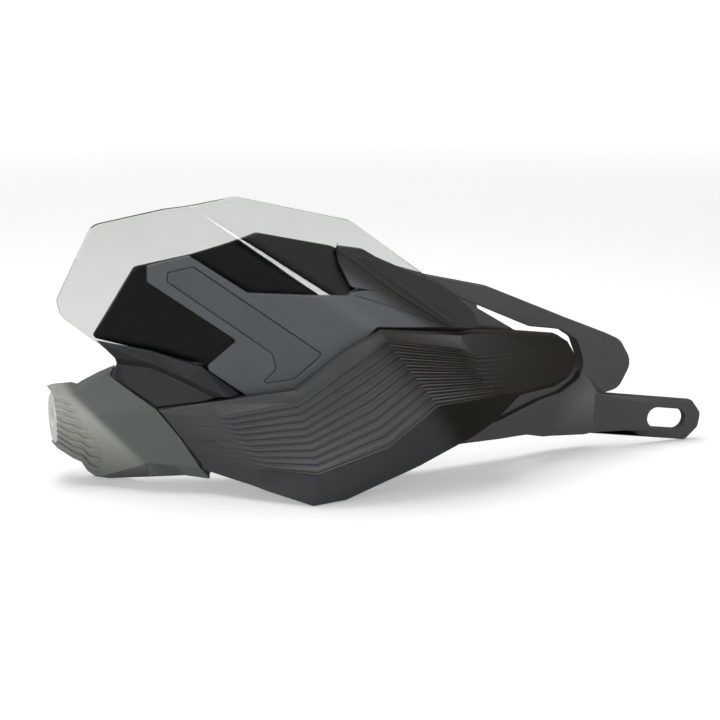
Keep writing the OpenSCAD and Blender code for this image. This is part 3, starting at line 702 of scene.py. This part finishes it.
def add_floor(glow):
    """Adds the floor at the guard's lowest point."""
    low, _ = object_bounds()
    shape = bmesh.new()
    bmesh.ops.create_grid(shape, x_segments=8, y_segments=8, size=FLOOR_HALF)
    bmesh.ops.translate(shape, verts=shape.verts, vec=(0, 0, low[2]))
    mesh = bpy.data.meshes.new("studio_floor")
    shape.to_mesh(mesh)
    shape.free()
    mesh.materials.append(floor_material(glow))
    floor = bpy.data.objects.new("studio_floor", mesh)
    bpy.context.scene.collection.objects.link(floor)
    floor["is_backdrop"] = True


def set_world(strength):
    """A white backdrop for the camera, and an even, dimmer room for everything else."""
    world = bpy.data.worlds.new("studio_room")
    world.use_nodes = True
    bpy.context.scene.world = world
    graph = Graph(world.node_tree)
    split = graph.node("ShaderNodeSeparateXYZ", None, {
        "Vector": graph.node("ShaderNodeTexCoord").outputs["Generated"]})
    behind = Term(graph, split.outputs["Y"]).ramp(0.2, 0.7)
    up = Term(graph, split.outputs["Z"])
    white, mirrored = seen_white(graph, behind, behind * (1 - up.ramp(0.1, 0.5)) * 0.5)
    reflected = up.ramp(0.25, 0.75) * 0.3 + 0.04
    room = graph.node("ShaderNodeBackground", None, {
        "Color": (1, 1, 1, 1),
        "Strength": white.highest(strength * (1 - mirrored) + mirrored * reflected)})
    graph.node("ShaderNodeOutputWorld", None, {"Surface": room.outputs[0]})


# Operators

def settings():
    return bpy.context.scene.hand_guard


class HANDGUARD_OT_stage(Operator):
    """Adds the camera, the white floor, the room and the lamps"""

    bl_idname = "hand_guard.stage"
    bl_label = "Studio"

    def execute(self, context):
        studio = settings().studio
        add_camera()
        context.scene.view_settings.view_transform = "Standard"
        add_floor(studio.floor_glow)
        set_world(studio.sky)
        for name, power, place, width, height in LAMPS:
            add_lamp(name, place, width, height, getattr(studio, power))
        if context.scene.camera is None:
            raise RuntimeError("the studio has no camera")
        return {"FINISHED"}


class HANDGUARD_OT_frame(Operator):
    """Finishes the frame: one black moulding with its loop, webs, posts and slotted arm"""

    bl_idname = "hand_guard.frame"
    bl_label = "Frame"

    def execute(self, context):
        colours, surfaces = settings().colours, settings().surfaces
        material = moulded_plastic("frame_nylon", colours.frame, surfaces.satin + 0.04, 0.5, 0.03)
        edged_piece("inner_frame", "frame_moulding", material, surfaces.edge, 20, weld=0.13 * MM)
        for name, edges, behind, wall in FRAME_WEBS:
            web = new_piece(name, skin(name, web_rows(edges, behind), wall), material)
            round_edges(web, surfaces.edge, 20, 30)
        return {"FINISHED"}


class HANDGUARD_OT_front_cover(Operator):
    """Finishes the front cover: a satin shell with chevron ribs and a long tongue"""

    bl_idname = "hand_guard.front_cover"
    bl_label = "Front Cover"

    def execute(self, context):
        colours, surfaces = settings().colours, settings().surfaces
        # The tongue's second tone is painted shade where it turns away from the lamps
        material = moulded_plastic(
            "cover_plastic", colours.cover, surfaces.satin, 0.4, 0.016, colours.tongue, TONGUE_SHADE_LINE)
        edged_piece("front_cover", "ribbed_cover", material, surfaces.rib_edge, 12, 24,
                    moves=straight_left_edge)
        return {"FINISHED"}


class HANDGUARD_OT_end_cover(Operator):
    """Makes the end cover: a warm grey skin round the bar end, with jogged ribs at its tip"""

    bl_idname = "hand_guard.end_cover"
    bl_label = "End Cover"

    def execute(self, context):
        colours, surfaces = settings().colours, settings().surfaces
        # The pale tip tone is painted light on the facet that faces the lamps, fading in with height
        material = moulded_plastic(
            "end_plastic", colours.end, surfaces.matt - 0.06, 0.4, 0.014, colours.tip, TIP_LIGHT_LINE, TIP_LIGHT_FADE)
        wall = skin("bar_end_cover", end_rows(), END_WALL, END_BOSSES, END_BOSS_RADIUS)
        piece = new_piece("bar_end_cover", wall, material)
        round_edges(piece, surfaces.rib_edge, 12, 24)
        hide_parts("end_cover")
        return {"FINISHED"}


class HANDGUARD_OT_spoiler_base(Operator):
    """Finishes the spoiler base: the dark strip between the screen and the covers"""

    bl_idname = "hand_guard.spoiler_base"
    bl_label = "Spoiler Base"

    def execute(self, context):
        colours, surfaces = settings().colours, settings().surfaces
        material = moulded_plastic("base_plastic", colours.base, surfaces.satin, 0.4, 0.016)
        edged_piece("spoiler_base", "spoiler_strip", material, surfaces.edge, 12, 20, 3)
        return {"FINISHED"}


class HANDGUARD_OT_backing_panel(Operator):
    """Finishes the backing panel: gloss black sheet behind the screen"""

    bl_idname = "hand_guard.backing_panel"
    bl_label = "Backing Panel"

    def execute(self, context):
        colours, surfaces = settings().colours, settings().surfaces
        material = gloss_plastic("gloss_black", colours.backing)
        edged_piece("backing_panel", "gloss_panel", material, surfaces.sheet_edge, 12, 30, 3)
        return {"FINISHED"}


class HANDGUARD_OT_screen(Operator):
    """Finishes the screen: a clear sheet with polished edges, and its rubber rings"""

    bl_idname = "hand_guard.screen"
    bl_label = "Screen"

    def execute(self, context):
        colours, surfaces = settings().colours, settings().surfaces
        material = clear_sheet("clear_screen", colours.screen, surfaces.clear)
        sheet = edged_piece(
            "screen", "clear_sheet", material, surfaces.sheet_edge, 12, 30, 3, weld=0.1 * MM)
        sheet.visible_shadow = False
        kept_piece("screen_grommets", soft_rubber("black_rubber", (0.02, 0.02, 0.02)))
        return {"FINISHED"}


class HANDGUARD_OT_retainer(Operator):
    """Finishes the matt retainer with its clip, and the inlay in its pocket"""

    bl_idname = "hand_guard.retainer"
    bl_label = "Retainer"

    def execute(self, context):
        colours, surfaces = settings().colours, settings().surfaces
        # The clip's tone is the clip's own black plus painted shade over the retainer's right side
        matt = moulded_plastic(
            "retainer_plastic", colours.retainer, surfaces.matt, 0.4, 0.02, colours.clip, CLIP_SHADE_LINE)
        edged_piece("retainer", "screen_retainer", matt, surfaces.edge * 0.8, 12, 30, 3,
                    moves=wider_window)
        plate = moulded_plastic("inlay_plastic", colours.inlay, surfaces.matt, 0.35, 0.02)
        edged_piece("retainer_inlay", "inlay_plate", plate, surfaces.edge * 0.7, 12, 30)
        return {"FINISHED"}


class HANDGUARD_OT_bar_end(Operator):
    """Finishes the turned bar end insert and the ring behind it"""

    bl_idname = "hand_guard.bar_end"
    bl_label = "Bar End"

    def execute(self, context):
        colours, surfaces = settings().colours, settings().surfaces
        turned = turned_metal("bare_aluminium", colours.disc, surfaces.metal)
        edged_piece("bar_end_insert", "bar_end_disc", turned, 0.15 * MM, 20)
        kept_piece("retaining_ring", plated_metal("spring_steel", (0.4, 0.4, 0.4), 0.35))
        return {"FINISHED"}


class HANDGUARD_OT_fasteners(Operator):
    """Finishes the screws, washers and inserts"""

    bl_idname = "hand_guard.fasteners"
    bl_label = "Fasteners"

    def execute(self, context):
        black = plated_metal("black_steel", (0.03, 0.03, 0.03), 0.38, 0.9)
        for group in ("cover", "panel", "trim"):
            edged_piece(f"{group}_screws", f"{group}_screw_set", black, 0.12 * MM, 25, 28)
        zinc = plated_metal("zinc_steel", (0.6, 0.6, 0.6), 0.32)
        brass = plated_metal("insert_brass", (0.7, 0.55, 0.25), 0.3)
        for node in ("cover_washers", "panel_washers"):
            kept_piece(node, zinc)
        for node in ("cover_inserts", "panel_inserts", "trim_inserts"):
            kept_piece(node, brass)
        return {"FINISHED"}


OPERATORS = (
    HANDGUARD_OT_stage, HANDGUARD_OT_frame, HANDGUARD_OT_front_cover, HANDGUARD_OT_end_cover,
    HANDGUARD_OT_spoiler_base, HANDGUARD_OT_backing_panel, HANDGUARD_OT_screen, HANDGUARD_OT_retainer,
    HANDGUARD_OT_bar_end, HANDGUARD_OT_fasteners,
)


class HANDGUARD_PT_panel(Panel):
    """Lists the steps of the hand guard"""

    bl_idname = "HANDGUARD_PT_panel"
    bl_label = "Hand Guard"
    bl_space_type = "VIEW_3D"
    bl_region_type = "UI"
    bl_category = "Hand Guard"

    def draw(self, context):
        for step in OPERATORS:
            self.layout.operator(step.bl_idname)
        for group in (settings().colours, settings().surfaces, settings().studio):
            column = self.layout.column(align=True)
            for name in group.__annotations__:
                column.prop(group, name)


CLASSES = (GuardColours, GuardSurfaces, GuardStudio, GuardSettings, *OPERATORS, HANDGUARD_PT_panel)


def register():
    for item in CLASSES:
        bpy.utils.register_class(item)
    bpy.types.Scene.hand_guard = PointerProperty(
        type=GuardSettings, name="Hand Guard", description="Settings of the hand guard")


def unregister():
    del bpy.types.Scene.hand_guard
    for item in reversed(CLASSES):
        bpy.utils.unregister_class(item)


def main():
    register()
    for step in OPERATORS:
        group, name = step.bl_idname.split(".")
        getattr(getattr(bpy.ops, group), name)()
    bpy.context.view_layer.update()


if __name__ == "__main__":
    main()
